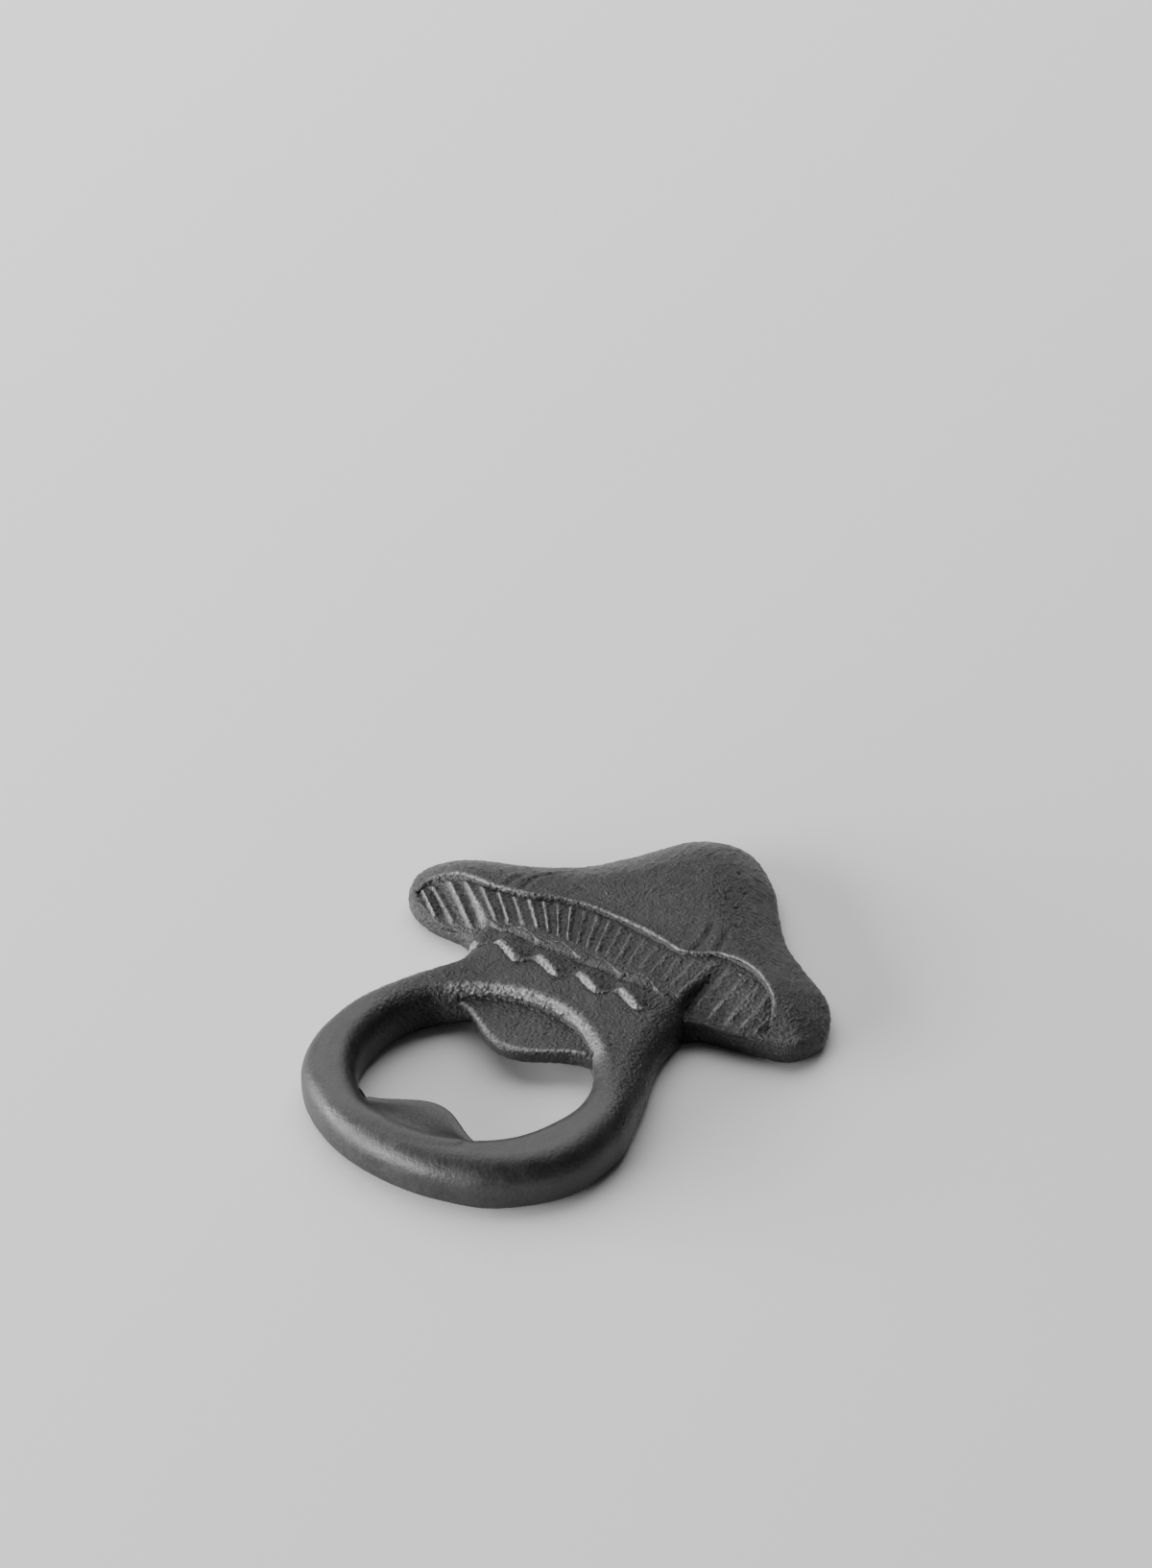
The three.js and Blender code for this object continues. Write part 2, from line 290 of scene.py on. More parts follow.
# A tube of rings: rows run along the piece, columns round its closed section.
def newLoft(name, grid, wrapRows, wornAndHighlight, material, node):
    rows, columns = grid.shape[:2]
    grid = castSkin(grid, wrapRows, True)
    quads = gridQuads(rows, columns, wrapRows, True)
    ends = []
    if not wrapRows:
        ends = [np.arange(columns), np.arange(columns)[::-1] + (rows - 1) * columns]
    wornAndHighlight = np.broadcast_to(wornAndHighlight, (rows, columns))
    newPiece(name, grid.reshape(-1, 3), quads, ends, wornAndHighlight, material, node)


# A slab under an upper face given as a grid, with rows along it and columns across it. Its
# underside has the same plan, a thickness below the face's lowest point across.
def newSlab(name, face, wornAndHighlight, material, node):
    face = face[:, ::-1]
    wornAndHighlight = np.pad(np.broadcast_to(wornAndHighlight, face.shape[:2])[:, ::-1], ((0, 0), (0, 2)))
    under = face[:, [-1, 0]].copy()
    lowest = face[:, :, 2].min(axis=1)[:, None]
    under[:, :, 2] = np.maximum(lowest - castSet["slab"], castSet["slabFloor"])
    newLoft(name, np.concatenate([face, under], axis=1), False, wornAndHighlight, material, node)


ironSet = {
    "dark": (0.01, 0.01, 0.0102, 1),
    "light": (0.026, 0.026, 0.0265, 1),
    "bareAndHighlight": (0.3, 0.3, 0.31, 1),  # where the black is rubbed off the edges, and a painted highlight there
    "roughLow": 0.4,
    "roughHigh": 0.56,
    "capSheen": 0.66,  # share of the roughness left on the cap, whose grains shine
    "specular": 0.52,
    "metallic": 0.8,  # of the rubbed edges, bare iron that also carries a painted highlight
    "grain": 1800.0,  # grains per metre
    "grainDetail": 3.0,
    "mottle": 240.0,
    "mottleDetail": 4.0,
    "noiseRoughness": 0.6,
    "toneFrom": 0.39,  # noise at which the tone is dark
    "toneTo": 0.61,
    "glossFrom": 0.3,
    "glossTo": 0.7,
    "bareAndHighlightFrom": 0.38,  # the black stays in the pits between the grains; bare metal and painted highlight lie on their peaks
    "bareAndHighlightTo": 0.58,
    "bareAndHighlightLeast": 0.15,
    "bump": 0.00055,
    "bumpSmooth": 0.04,
    "bumpRough": 1.1,
}


def addNoise(tree, scale, detail):
    place = tree.nodes.new("ShaderNodeTexCoord")
    node = tree.nodes.new("ShaderNodeTexNoise")
    node.inputs["Scale"].default_value = scale
    node.inputs["Detail"].default_value = detail
    node.inputs["Roughness"].default_value = ironSet["noiseRoughness"]
    tree.links.new(place.outputs["Object"], node.inputs["Vector"])
    return node.outputs["Fac"]


def addRange(tree, source, low, high, newLow, newHigh):
    node = tree.nodes.new("ShaderNodeMapRange")
    node.inputs["From Min"].default_value = low
    node.inputs["From Max"].default_value = high
    node.inputs["To Min"].default_value = newLow
    node.inputs["To Max"].default_value = newHigh
    tree.links.new(source, node.inputs["Value"])
    return node.outputs["Result"]


def addMath(tree, operation, a, b):
    node = tree.nodes.new("ShaderNodeMath")
    node.operation = operation
    for socket, value in zip(node.inputs, (a, b)):
        if isinstance(value, float):
            socket.default_value = value
        else:
            tree.links.new(value, socket)
    return node.outputs[0]


def addAttribute(tree, name):
    node = tree.nodes.new("ShaderNodeAttribute")
    node.attribute_name = name
    return node.outputs["Fac"]


# Black iron as cast: grains of the mould in relief and in tone, and a slow mottle in tone and
# gloss. The face is smoother where rough is low; worn edges show bare metal and a painted highlight.
def makeIron():
    material = bpy.data.materials.new("castIron")
    material.use_nodes = True
    tree = material.node_tree
    shader = tree.nodes["Principled BSDF"]
    grain = addNoise(tree, ironSet["grain"], ironSet["grainDetail"])
    mottle = addNoise(tree, ironSet["mottle"], ironSet["mottleDetail"])
    rough = addAttribute(tree, "rough")
    wornAndHighlight = addAttribute(tree, "wornAndHighlight")
    tone = addMath(tree, "MULTIPLY", addMath(tree, "ADD", grain, mottle), 0.5)
    ramp = tree.nodes.new("ShaderNodeValToRGB")
    ramp.color_ramp.elements[0].position = ironSet["toneFrom"]
    ramp.color_ramp.elements[0].color = ironSet["dark"]
    ramp.color_ramp.elements[1].position = ironSet["toneTo"]
    ramp.color_ramp.elements[1].color = ironSet["light"]
    tree.links.new(tone, ramp.inputs["Fac"])
    # Painted highlight with wear: on marked edges the grain peaks turn to light, metallic iron.
    peaks = addRange(tree, grain, ironSet["bareAndHighlightFrom"], ironSet["bareAndHighlightTo"], ironSet["bareAndHighlightLeast"], 1)
    bareAndHighlight = addMath(tree, "MULTIPLY", wornAndHighlight, peaks)
    blend = tree.nodes.new("ShaderNodeMix")
    blend.data_type = "RGBA"
    blend.inputs[7].default_value = ironSet["bareAndHighlight"]
    tree.links.new(bareAndHighlight, blend.inputs[0])
    tree.links.new(ramp.outputs["Color"], blend.inputs[6])
    tree.links.new(blend.outputs[2], shader.inputs["Base Color"])
    tree.links.new(addMath(tree, "MULTIPLY", bareAndHighlight, ironSet["metallic"]), shader.inputs["Metallic"])
    glossFrom, glossTo = ironSet["glossFrom"], ironSet["glossTo"]
    gloss = addRange(tree, mottle, glossFrom, glossTo, ironSet["roughLow"], ironSet["roughHigh"])
    sheen = addRange(tree, rough, 0, 1, 1, ironSet["capSheen"])
    gloss = addMath(tree, "MULTIPLY", gloss, sheen)
    tree.links.new(gloss, shader.inputs["Roughness"])
    bump = tree.nodes.new("ShaderNodeBump")
    bump.inputs["Distance"].default_value = ironSet["bump"]
    strength = addRange(tree, rough, 0, 1, ironSet["bumpSmooth"], ironSet["bumpRough"])
    tree.links.new(strength, bump.inputs["Strength"])
    tree.links.new(grain, bump.inputs["Height"])
    tree.links.new(bump.outputs["Normal"], shader.inputs["Normal"])
    shader.inputs["Specular IOR Level"].default_value = ironSet["specular"]
    return material


castIron = makeIron()


capSet = {
    "drawing": [
        (20.6, 3.5), (25.2, 5.1), (33.4, 6.6), (38.6, 8.5), (40.3, 14.3), (36.6, 22), (28.7, 27.8),
        (22.1, 32.7), (16.8, 39), (11.9, 45.4), (6.6, 49.8), (0.7, 51.9), (-5.5, 49.7), (-9.8, 44.4),
        (-13.6, 37.8), (-19.3, 31.1), (-27.3, 26.8), (-36.4, 22.5), (-40.3, 15.9), (-37.2, 8),
        (-31.9, 5.1), (-24.6, 4.6), (-20.8, 3.5)],
    "wall": 2.2,  # side wall round the back and the sides
    "frontWall": (2.6, 4.2),  # under the gills, at the left and right lobes
    "frontFrom": -10.0,  # between here and there it grows
    "frontTo": 10.0,
    "frontTurn": 1.6,  # how fast the side wall becomes a front wall where the edge turns
    "frontLip": 0.7,
    "frontLipRun": 0.9,
    "shoulder": 4.4,
    "shoulderRun": 6.5,
    "crown": 8.6,
    "crownRun": 12.0,
    "crownSoftness": 1.98,
    "foot": 1.8,
    "neckFoot": 0.3,
    "notchStations": 14,  # over which the foot grows from the neck's
    "neckOverlap": 1.5,  # the cap dives under the stem in this margin
    "neckDive": 0.5,
    "neckHalf": 19.8,
    "neckEdge": 0.8,
    "fanDepth": 2.2,  # of the bed that the gills lie in
    "fanSlope": 1.2,
    "stations": 900,
    "neckStations": 60,
    "rings": 90,
    "ringSpacing": 1.5,  # the rings crowd at the edge by this power
    "lastRing": 0.992,
    "baseRings": (0.96, 0.7, 0.4),
    "wallRings": (0.35, 0.7),
    "middle": (0.0, 19.5),
    "strokes": [  # grooves that run on over the rim
        [(-21.6, 12.6), (-21.6, 15.4), (-20.8, 19.4)],
        [(-18.4, 13.2), (-18.7, 17.9), (-16.4, 24.0)],
        [(14.2, 15.4), (14.3, 18.1), (14.0, 20.4), (12.5, 25.4)],
        [(18.0, 16.0), (17.4, 19.2), (15.7, 24.6)]],
    "strokeWidth": 0.45,
    "strokeDepth": 0.5,
    "strokeBank": 0.3,  # share of the depth thrown up beside a stroke
    "strokePoints": 60,
    "strokeTaper": 24,
    "pits": [(7.7, 40.8), (11.3, 36.5), (10.9, 31.9), (13.1, 31.1), (16.3, 26.2), (17.8, 21.4)],
    "pitWidth": 0.5,
    "pitDepth": 0.4,
}

rawCap = smoothLine(capSet["drawing"], capSet["stations"])
capFloor = np.array([capLow[0], neckY])
capScale = (capHigh[:2] - capFloor) / (rawCap.max(axis=0) - rawCap.min(axis=0))


# Drawn points of the cap at the size of the cap in the frame.
def toCap(drawn):
    return capFloor + (np.asarray(drawn, float) - rawCap.min(axis=0)) * capScale


capLine = toCap(rawCap)


# Height of the cap over its plan: a wall, an elliptic shoulder over the distance from the edge,
# and a crown over a softened distance, the power mean of the distances to the whole edge. Beside
# a straight stretch of edge that mean grows as the distance to the power of seven eighths.
def capSurface(points, chunk=4000):
    line = capLine[::2]
    along = alongOf(line)
    gap = np.empty(len(points))
    soft = np.empty(len(points))
    front = np.empty(len(points))
    for start in range(0, len(points), chunk):
        part = points[start:start + chunk]
        square = ((part[:, None, :] - line[None, :, :]) ** 2).sum(axis=2)
        best = square.argmin(axis=1)
        off = part - line[best]
        gap[start:start + chunk] = np.abs(along[best, 0] * off[:, 1] - along[best, 1] * off[:, 0])
        soft[start:start + chunk] = np.mean(1 / (square + 0.01) ** 4, axis=1) ** -0.125
        front[start:start + chunk] = smoothStep(along[best, 0] * capSet["frontTurn"])
    leftWall, rightWall = capSet["frontWall"]
    across = (points[:, 0] - capSet["frontFrom"]) / (capSet["frontTo"] - capSet["frontFrom"])
    frontWall = mix(leftWall, rightWall, smoothStep(across))
    wall = mix(capSet["wall"], frontWall, front)
    lip = capSet["frontLip"] * front
    height = wall + lip * quarter(gap / capSet["frontLipRun"])
    height += (capSet["shoulder"] - wall - lip) * quarter(gap / capSet["shoulderRun"])
    fullRun = capSet["crownSoftness"] * capSet["crownRun"] ** 0.875
    return height + (capSet["crown"] - capSet["shoulder"]) * smoothStep(soft / fullRun)


ringSet = {
    "drawing": [
        (-20.8, 3.5), (-18.4, -3), (-20.7, -8.9), (-24.1, -16.6), (-26.2, -27), (-24.1, -38.6),
        (-19.1, -44.8), (-9.6, -50.2), (0.4, -51.9), (10.2, -51.3), (20.2, -47.2), (27.7, -38.4),
        (28.9, -27.6), (25.8, -16.3), (23, -9.1), (21.5, -3.6), (20.6, 3.5)],
    "hole": 37.2,
    "footBar": 7.0,
    "off": -0.6,  # of the hole, from the middle of the bar
    "height": 8.2,
    "neck": 7.6,
    "neckFrom": -19.0,
    "neckTo": -7.0,
    "outerRound": 4.4,
    "outerDrop": 4.4,
    "holeRound": 3.4,
    "holeDrop": 3.8,
    "neckHoleRound": 1.3,
    "neckHoleDrop": 1.5,
    "wallSlope": 3.0,  # the surface falls this steeply inside the hole
    "foot": 1.8,
    "neckFoot": 0.2,
    "notchStations": 18,  # over which the foot grows from the neck's
    "tuck": 5.0,  # of the neck under the cap
    "tuckWay": (4.5, 10.0),  # the sides of the stem run on under the lobes
    "tuckPoints": 9,
    "neckDive": 0.12,
    "neckDiveFrom": 0.5,
    "underCap": 0.1,
    "lipSeam": 0.35,  # under a lip the bar dives in this margin of the hole
    "lipDive": 1.5,
    "rubbedAndHighlight": 0.9,  # of the neck's edge over the upper lip: wear where crown corks rub, with a painted highlight on it
    "rubbedAndHighlightFrom": -17.0,
    "rubbedAndHighlightRun": 5.0,
    "rubbedAndHighlightWidth": 1.6,
    "stations": 840,
    "neckStations": 120,
    "topColumns": 60,
}
rawRing = smoothLine(ringSet["drawing"], ringSet["stations"])
ringLine = stretched(rawRing, ringLow[:2], np.array([ringHigh[0], neckY]))
holeRadius = ringSet["hole"] / 2
ringMiddle = (ringLow[0] + ringHigh[0]) / 2
holeCentre = np.array([ringMiddle + ringSet["off"], ringLow[1] + ringSet["footBar"] + holeRadius])
tuckLine = np.linspace(0, 1, 30)[1:, None] * np.array(ringSet["tuckWay"])
leftTuck = ringLine[0] + tuckLine * (-1, 1)
rightTuck = ringLine[-1] + tuckLine
ringGuide = np.vstack([leftTuck[::-1], ringLine, rightTuck])


# Height of the bar and the neck over their plan: quarter ellipses fall from the top to the outer
# wall and to the wall of the hole, tighter at the hole where the neck is broad.
def ringSurface(points):
    outer = nearest(points, ringGuide[::2])[0]
    inner = np.linalg.norm(points - holeCentre, axis=1) - holeRadius
    run = ringSet["neckTo"] - ringSet["neckFrom"]
    neckness = smoothStep((points[:, 1] - ringSet["neckFrom"]) / run)
    top = mix(ringSet["height"], ringSet["neck"], neckness)
    holeRound = mix(ringSet["holeRound"], ringSet["neckHoleRound"], neckness)
    holeDrop = mix(ringSet["holeDrop"], ringSet["neckHoleDrop"], neckness)
    height = top - ringSet["outerDrop"] * (1 - quarter(outer / ringSet["outerRound"]))
    height -= holeDrop * (1 - quarter(inner / holeRound))
    return height - ringSet["wallSlope"] * np.maximum(-inner, 0)


lipSet = {
    "upper": {
        "side": 1, "width": 26.8, "bulge": 5.7, "rise": (0.2, 0.3), "under": (4.1, 2.4),
        "fillet": 0.9, "seam": 0.0, "rubbedAndHighlight": 0.8},
    "lower": {
        "side": -1, "width": 23.2, "bulge": 4.6, "rise": (1.0, 2.7), "under": (2.0, 2.0),
        "fillet": 1.2, "seam": 0.3, "rubbedAndHighlight": 0.0},
    "top": 5.5,
    "round": 0.7,
    "rooted": 2.6,  # into the bar
    "beyond": 0.7,  # its chord, at each end
    "riseRun": 0.7,  # share of the half width in which the rise grows
    "fall": 0.35,
    "endMargin": 2.0,  # it falls away in this margin of its ends
    "rootFrom": 2.2,  # and this far into the bar
    "seamDive": 0.8,
    "rubbedAndHighlightColumns": 5,
    "stations": 280,
    "columns": 70,
}


# Distance of a lip's free edge and of its root from the middle of the hole, at x. The free edge
# swells past its chord as a squared cosine.
def lipReach(x, shape):
    half = shape["width"] / 2
    bulge = shape["bulge"] * np.cos(np.pi / 2 * np.clip(x / half, -1, 1)) ** 2
    root = np.sqrt(np.maximum((holeRadius + lipSet["rooted"]) ** 2 - x ** 2, 1))
    return math.sqrt(holeRadius ** 2 - half ** 2) - bulge, root


# Height of a lip over its plan: level at the free edge, rising to the root, and falling away on
# parabolas past its two ends and past its root.
def lipSurface(points, shape):
    x, y = (points - holeCentre).T
    half = shape["width"] / 2
    free, root = lipReach(x, shape)
    share = (root - shape["side"] * y) / (root - free - lipSet["round"])
    rise = mix(*shape["rise"], smoothStep((x / half + 1) / lipSet["riseRun"]))
    height = lipSet["top"] + rise * (1 - smoothStep(share))
    height += dive(np.abs(x) - half + lipSet["endMargin"], lipSet["fall"])
    height += dive(np.hypot(x, y) - holeRadius - lipSet["rootFrom"], lipSet["fall"])
    return np.where(shape["side"] * y > 0, height, 0)


# The bar, the neck and both lips as one rounded surface.
def barSurface(points):
    height = ringSurface(points)
    for shape in (lipSet["upper"], lipSet["lower"]):
        height = softMax(height, lipSurface(points, shape), shape["fillet"])
    return height


stemSet = {
    "rise": 0.3,  # of the stem in the cap over the neck
    "sinkFrom": 3.5,  # it sinks into the cap from this far past the neck line
    "sink": 0.12,
    "half": 21.2,
    "edge": 2.6,
    "fillet": 1.2,
}


# The cap and the neck as one rounded surface.
def castSurface(points):
    cap = capSurface(points)
    sunk = dive(points[:, 1] - neckY - stemSet["sinkFrom"], stemSet["sink"])
    stem = ringSurface(points) + stemSet["rise"] + sunk
    onStem = smoothStep((stemSet["half"] - np.abs(points[:, 0])) / stemSet["edge"])
    return softMax(cap, mix(0, stem, onStem), stemSet["fillet"])


rimSet = {
    "stations": 800,
    "columns": 34,
    "outerReach": 1.7,  # of the bead over the cap
    "innerReach": 0.4,  # of the step down to the gills
    "rise": 0.3,
    "riseReach": 1.0,
    "step": 1.5,
    "endStations": 60,  # the step fades towards its ends
    "seam": 0.5,  # the cap dives under the rim here
    "seamDive": 1.2,
    "rubbedAndHighlight": 0.8,
    "fadeAt": -14.0,  # the rim's wear and painted highlight are weaker round here
    "fadeRun": 6.0,
    "fade": 0.6,
    "rubbedAndHighlightWidth": 0.4,
}
gillSet = {
    # a gill's number, its point on the rim and its point on the front edge
    "ends": [
        (0, (-36.3, 8.9), (-34.6, 7.2)), (1, (-36.2, 9.8), (-30.0, 5.2)),
        (2, (-35.6, 11.3), (-26.0, 5.1)), (3, (-33.2, 12.9), (-22.6, 5.3)),
        (4, (-30.0, 13.6), (-19.6, 5.2)), (6, (-22.8, 13.3), (-15.0, 5.4)),
        (8, (-16.9, 13.8), (-9.9, 6.4)), (10, (-12.2, 15.6), (-6.0, 6.6)),
        (12, (-7.3, 16.6), (-2.3, 6.6)), (14, (-2.0, 16.6), (1.5, 6.6)),
        (16, (2.8, 16.3), (5.5, 6.6)), (18, (8.4, 15.5), (9.8, 6.3)),
        (20, (13.2, 14.6), (14.0, 6.2)), (21, (15.7, 15.7), (15.9, 6.1)),
        (22, (18.6, 17.4), (18.2, 5.7)), (24, (24.7, 17.5), (23.6, 5.3)),
        (26, (30.2, 14.4), (29.2, 6.1)), (27, (32.2, 11.6), (31.8, 6.7)),
        (28, (33.4, 9.0), (33.2, 7.3))],
    "perGill": 25,
    "columns": 112,
    "step": 0.5,  # under the rim
    "stepFrom": 1.2,  # it starts at this gill
    "stepTo": 4.0,
    "middleStep": 0.15,  # of the front edge under the cap's surface, over the stem
    "bulge": 1.4,
    "rise": 0.85,
    "faintFrom": 9.0,  # gills fade from this number on
    "faintTo": 18.0,
    "faint": 0.22,
    "leftFace": 0.2,  # shares of the spacing
    "rightFace": 0.46,
    "overlap": 0.06,  # share of a gill under the rim, and past the front edge
    "stemHalf": 16.5,
    "stemEdge": 4.0,
    "rightFrom": 20.0,  # from this gill on they stand out again at their front ends
    "rightRun": 3.0,
    "rightFront": 0.4,
    "uneven": 0.2,  # of the gills' heights
    "unevenPace": 2.4,
    "frontDive": 0.6,
    "length": 8.0,
}
gillNumber = np.array([gill for gill, top, front in gillSet["ends"]], float)
gillTop = toCap([top for gill, top, front in gillSet["ends"]])
gillFront = toCap([front for gill, top, front in gillSet["ends"]])
rimLine = smoothLine(gillTop, rimSet["stations"])
gillOutline = np.vstack([smoothLine(gillTop, 260), smoothLine(gillFront[::-1], 240)])


# The raised margin of the cap beside the rim.
def rimSwell(gap):
    return rimSet["rise"] * np.exp(-(gap / rimSet["riseReach"]) ** 2)


# Grooves and pits in the cap.
def capMarks(points):
    marks = np.zeros(len(points))
    for stroke in capSet["strokes"]:
        line = smoothLine(stroke, capSet["strokePoints"])
        gap, index = nearest(points, line)
        taper = smoothStep((len(line) + 2 - index) / capSet["strokeTaper"])
        marks -= capSet["strokeDepth"] * taper * np.exp(-(gap / capSet["strokeWidth"]) ** 2)
        side = np.exp(-((gap - 2 * capSet["strokeWidth"]) / capSet["strokeWidth"]) ** 2)
        marks += capSet["strokeBank"] * capSet["strokeDepth"] * taper * side
    for pit in capSet["pits"]:
        gap = np.linalg.norm(points - np.array(pit), axis=1)
        marks -= capSet["pitDepth"] * np.exp(-(gap / capSet["pitWidth"]) ** 2)
    return marks


# The cap is built of rings of one outline, drawn in towards its middle: over the flat base, up
# the rounded foot and the side wall, and over the top.
def makeCap():
    neck = np.linspace(0, 1, capSet["neckStations"] + 2)[1:-1, None]
    outline = np.vstack([capLine, mix(capLine[-1], capLine[0], neck)])
    onNeck = np.arange(len(outline)) >= len(capLine)
    middle = np.array(capSet["middle"])
    reach = np.linalg.norm(outline - middle, axis=1)[:, None]
    place = np.arange(len(outline))
    fromNotch = np.minimum(place, len(capLine) - 1 - place) / capSet["notchStations"]
    grownFoot = mix(capSet["neckFoot"], capSet["foot"], smoothStep(fromNotch))
    foot = np.where(onNeck, capSet["neckFoot"], grownFoot)[:, None]

    def ring(plan, height):
        return np.column_stack([plan, np.broadcast_to(height, (len(plan), 1))])

    rows = [ring(mix(outline, middle, share), 0.0) for share in capSet["baseRings"]]
    for angle in np.linspace(0, np.pi / 2, 8):
        inset = foot * (1 - np.sin(angle)) / reach
        rows.append(ring(mix(outline, middle, inset), foot * (1 - np.cos(angle))))
    wallTop = capSurface(outline)[:, None]
    for share in capSet["wallRings"]:
        rows.append(ring(outline, mix(foot, wallTop, share)))
    shares = np.linspace(0, 1, capSet["rings"]) ** capSet["ringSpacing"] * capSet["lastRing"]
    plan = np.vstack([mix(outline, middle, share) for share in shares])
    onFan = inside(plan, gillOutline[::2])
    gap = nearest(plan, gillOutline)[0]
    rimGap = nearest(plan, rimLine[::3])[0]
    height = castSurface(plan) + capMarks(plan) + rimSwell(rimGap) * (~onFan)
    height -= np.where(onFan, capSet["fanDepth"] * smoothStep((gap - 0.1) / capSet["fanSlope"]), 0)
    seamGap = nearest(plan, rimLine[10:-10:3])[0]
    height += dive(np.where(onFan, 0, rimSet["seam"] - seamGap), rimSet["seamDive"])
    onNeckEdge = smoothStep((capSet["neckHalf"] - np.abs(plan[:, 0])) / capSet["neckEdge"])
    height += dive(neckY + capSet["neckOverlap"] - plan[:, 1], capSet["neckDive"]) * onNeckEdge
    top = np.column_stack([plan, height])
    rows += np.split(top, len(shares))
    newLoft("cap_casting", np.array(rows), False, 0.0, castIron, "cap")


makeCap()


# The rim is a profile carried along the rim line: a low swell that lies on the cap and a steep
# step down to the gills.
def makeRim():
    across = np.linspace(-1, 1, rimSet["columns"])
    reach = np.where(across > 0, rimSet["outerReach"], rimSet["innerReach"])
    offset = across * reach
    along = alongOf(rimLine)
    sideways = np.column_stack([-along[:, 1], along[:, 0]])
    plan = rimLine[:, None, :] + sideways[:, None, :] * offset[None, :, None]
    height = castSurface(plan.reshape(-1, 2)).reshape(plan.shape[:2])
    swell = rimSwell(np.maximum(offset, 0))
    height += (swell + dive(offset - rimSet["seam"], rimSet["seamDive"]))[None, :]
    station = np.arange(len(rimLine))
    ends = smoothStep(np.minimum(station, station[::-1]) / rimSet["endStations"])
    height -= rimSet["step"] * ends[:, None] * smoothStep(-across)[None, :]
    # The rim's edge is worn bare and carries a painted highlight, fading at its ends.
    fade = np.exp(-((rimLine[:, 0] - rimSet["fadeAt"]) / rimSet["fadeRun"]) ** 2)
    rubbedAndHighlight = ends * (rimSet["rubbedAndHighlight"] - rimSet["fade"] * fade)
    wornAndHighlight = rubbedAndHighlight[:, None] * np.exp(-((offset + 0.05) / rimSet["rubbedAndHighlightWidth"]) ** 2)[None, :]
    newSlab("rim_bead_casting", np.dstack([plan, height]), wornAndHighlight, castIron, "rim_bead")


makeRim()


# The gills are ruled between the rim and the front edge. Each is a ridge along a ruling, with a
# steep left face and a broad right one. They fade towards the right lobe.
def makeGills():
    stretches = 20
    both = curveThrough(np.hstack([gillTop, gillFront]), stretches)
    passed = np.arange(len(both)) / stretches
    at = np.interp(passed, np.arange(len(gillNumber)), gillNumber)
    gill = np.linspace(0, gillNumber[-1], int(gillNumber[-1]) * gillSet["perGill"] + 1)
    both = np.stack([np.interp(gill, at, both[:, k]) for k in range(4)], axis=1)
    top, front = both[:, :2], both[:, 2:]
    v = np.linspace(-gillSet["overlap"], 1 + gillSet["overlap"], gillSet["columns"])[None, :]
    plan = mix(top[:, None, :], front[:, None, :], v[:, :, None])
    opening = (gill - gillSet["stepFrom"]) / (gillSet["stepTo"] - gillSet["stepFrom"])
    atRim = castSurface(top)[:, None] - gillSet["step"] * smoothStep(opening)[:, None]
    onStem = smoothStep((gillSet["stemHalf"] - np.abs(front[:, 0])) / gillSet["stemEdge"])[:, None]
    atFront = castSurface(front)[:, None] - gillSet["middleStep"] * onStem
    across = np.clip(v, 0, 1)
    height = mix(atRim, atFront, across ** gillSet["bulge"])
    beside = gill - np.round(gill)
    face = np.where(beside < 0, gillSet["leftFace"], gillSet["rightFace"])
    ridge = smoothStep(1 - np.abs(beside) / face)[:, None]
    fade = smoothStep((gill - gillSet["faintFrom"]) / (gillSet["faintTo"] - gillSet["faintFrom"]))
    onRight = smoothStep((gill[:, None] - gillSet["rightFrom"]) / gillSet["rightRun"])
    rightFront = gillSet["rightFront"] * onRight * smoothStep((across - 0.6) / 0.2)
    strength = mix(1, gillSet["faint"], fade)[:, None] + rightFront
    uneven = gillSet["uneven"] * np.sin(gillSet["unevenPace"] * np.round(gill))
    strength = strength * (1 + uneven)[:, None]
    strength = strength * smoothStep((gill[:, None] - 0.3) / 0.6)
    length = smoothStep((across - 0.06) / 0.16) * smoothStep((1.05 - across) / 0.2)
    height = height + gillSet["rise"] * ridge * strength * length
    # The ridges are worn bare and carry a painted highlight.
    wornAndHighlight = np.clip(ridge * strength, 0, 1) * length
    height += dive((v - 1.0) * gillSet["length"], gillSet["frontDive"])
    newSlab("gill_fan_casting", np.dstack([plan, height]), wornAndHighlight, castIron, "gill_fan")


makeGills()


